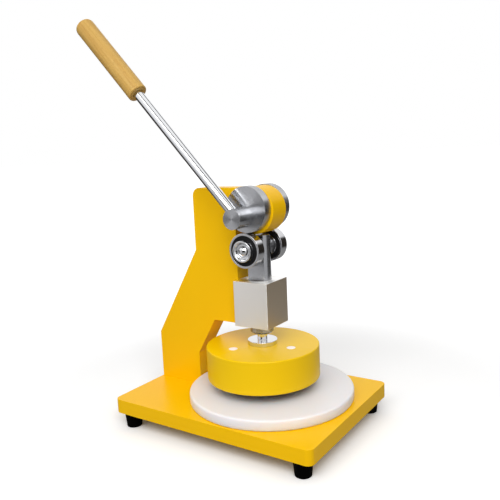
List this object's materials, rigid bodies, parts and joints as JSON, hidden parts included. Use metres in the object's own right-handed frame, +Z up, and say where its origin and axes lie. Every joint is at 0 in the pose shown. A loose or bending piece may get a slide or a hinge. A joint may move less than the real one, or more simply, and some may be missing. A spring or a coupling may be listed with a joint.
{
  "type": "circular sample cutter",
  "caption": "Bench press that cuts round samples from sheet: a lever turns eccentric discs that push a ram with a round cutting head onto a pad.",
  "frame": {"origin": "on the ram's axis, in the top face of the cutting pad", "axes": "+Z up, +X from the column towards the operator, Y along the lever's shaft with the lever at -Y"},
  "size_m": [0.3431, 0.2, 0.4964],
  "materials": {
    "yellow_paint": "smooth satin enamel on steel",
    "rubber": "moulded black rubber, slightly glossy",
    "zinc_steel": "bright zinc plate",
    "white_plastic": "milled white polyethylene",
    "black_steel": "black oxide",
    "bronze": "sintered bronze",
    "brushed_steel": "finely brushed stainless steel",
    "turned_steel": "turned steel, nearly polished",
    "polished_steel": "mirror polished",
    "bearing_steel": "ground bearing steel",
    "seal_rubber": "black nitrile seal",
    "cage_steel": "riveted cage",
    "wood": "turned beech, clear varnish",
    "tool_steel": "ground tool steel",
    "foam": "closed-cell foam"
  },
  "bodies": {
    "stand": {"base_plate": "yellow_paint", "foot_front_left": "rubber", "foot_front_right": "rubber", "foot_rear_left": "rubber", "foot_rear_right": "rubber", "foot_screws": "zinc_steel", "cutting_pad": "white_plastic", "frame_plate": "yellow_paint", "frame_bolts": "black_steel", "shaft_tube": "yellow_paint", "shaft_bushes": "bronze", "guide_block": "brushed_steel", "block_screws": "black_steel", "upper_guide_bush": "bronze", "lower_guide_bush": "bronze", "return_spring": "zinc_steel"},
    "lever": {"cam_shaft": "turned_steel", "front_eccentric": "turned_steel", "rear_eccentric": "turned_steel", "disc_keys": "black_steel", "disc_grub_screws": "black_steel", "lever_rod": "polished_steel", "lever_grip": "wood"},
    "ram": {"ram": "turned_steel", "roller_axle": "turned_steel", "axle_spacers": "turned_steel", "front_inner_race": "bearing_steel", "rear_inner_race": "bearing_steel", "end_washers": "zinc_steel", "domed_screws": "polished_steel", "stop_collar": "turned_steel", "collar_grub_screw": "black_steel", "spindle": "polished_steel", "cutter_housing": "yellow_paint", "cutting_ring": "tool_steel", "ring_screws": "black_steel", "screw_plugs": "white_plastic", "spindle_washer": "zinc_steel", "spindle_nut": "zinc_steel", "foam_ejector": "foam"},
    "front_roller": {"front_outer_race": "bearing_steel", "front_seals": "seal_rubber"},
    "front_ball_train": {"front_balls": "bearing_steel", "front_cage": "cage_steel"},
    "rear_roller": {"rear_outer_race": "bearing_steel", "rear_seals": "seal_rubber"},
    "rear_ball_train": {"rear_balls": "bearing_steel", "rear_cage": "cage_steel"}
  },
  "joints": [
    {"name": "lever_turn", "type": "hinge", "parent": "stand", "child": "lever", "pos_m": [0, 0, 0.2055], "axis": [0, 1, 0], "range_deg": [0, 95]},
    {"name": "ram_slide", "type": "slide", "parent": "stand", "child": "ram", "axis": [0, 0, -1], "range_m": [0, 0.00976], "stiffness_N_per_m": 10000, "springref_m": -0.012, "deforming": ["return_spring"]},
    {"name": "front_roller_spin", "type": "hinge", "parent": "ram", "child": "front_roller", "pos_m": [0, -0.025, 0.16734], "axis": [0, 1, 0], "range_deg": [-124.69, 0]},
    {"name": "rear_roller_spin", "type": "hinge", "parent": "ram", "child": "rear_roller", "pos_m": [0, 0.025, 0.16734], "axis": [0, 1, 0], "range_deg": [-124.69, 0]},
    {"name": "front_cage_spin", "type": "hinge", "parent": "ram", "child": "front_ball_train", "pos_m": [0, -0.025, 0.16734], "axis": [0, 1, 0], "range_deg": [-77.11, 0]},
    {"name": "rear_cage_spin", "type": "hinge", "parent": "ram", "child": "rear_ball_train", "pos_m": [0, 0.025, 0.16734], "axis": [0, 1, 0], "range_deg": [-77.11, 0]}
  ],
  "couplings": [
    {"joint": "ram_slide", "follows": "lever_turn", "m_per_rad": 0.0058836},
    {"joint": "front_roller_spin", "follows": "lever_turn", "ratio": -1.3125},
    {"joint": "rear_roller_spin", "follows": "lever_turn", "ratio": -1.3125},
    {"joint": "front_cage_spin", "follows": "lever_turn", "ratio": -0.81167},
    {"joint": "rear_cage_spin", "follows": "lever_turn", "ratio": -0.81167}
  ]
}
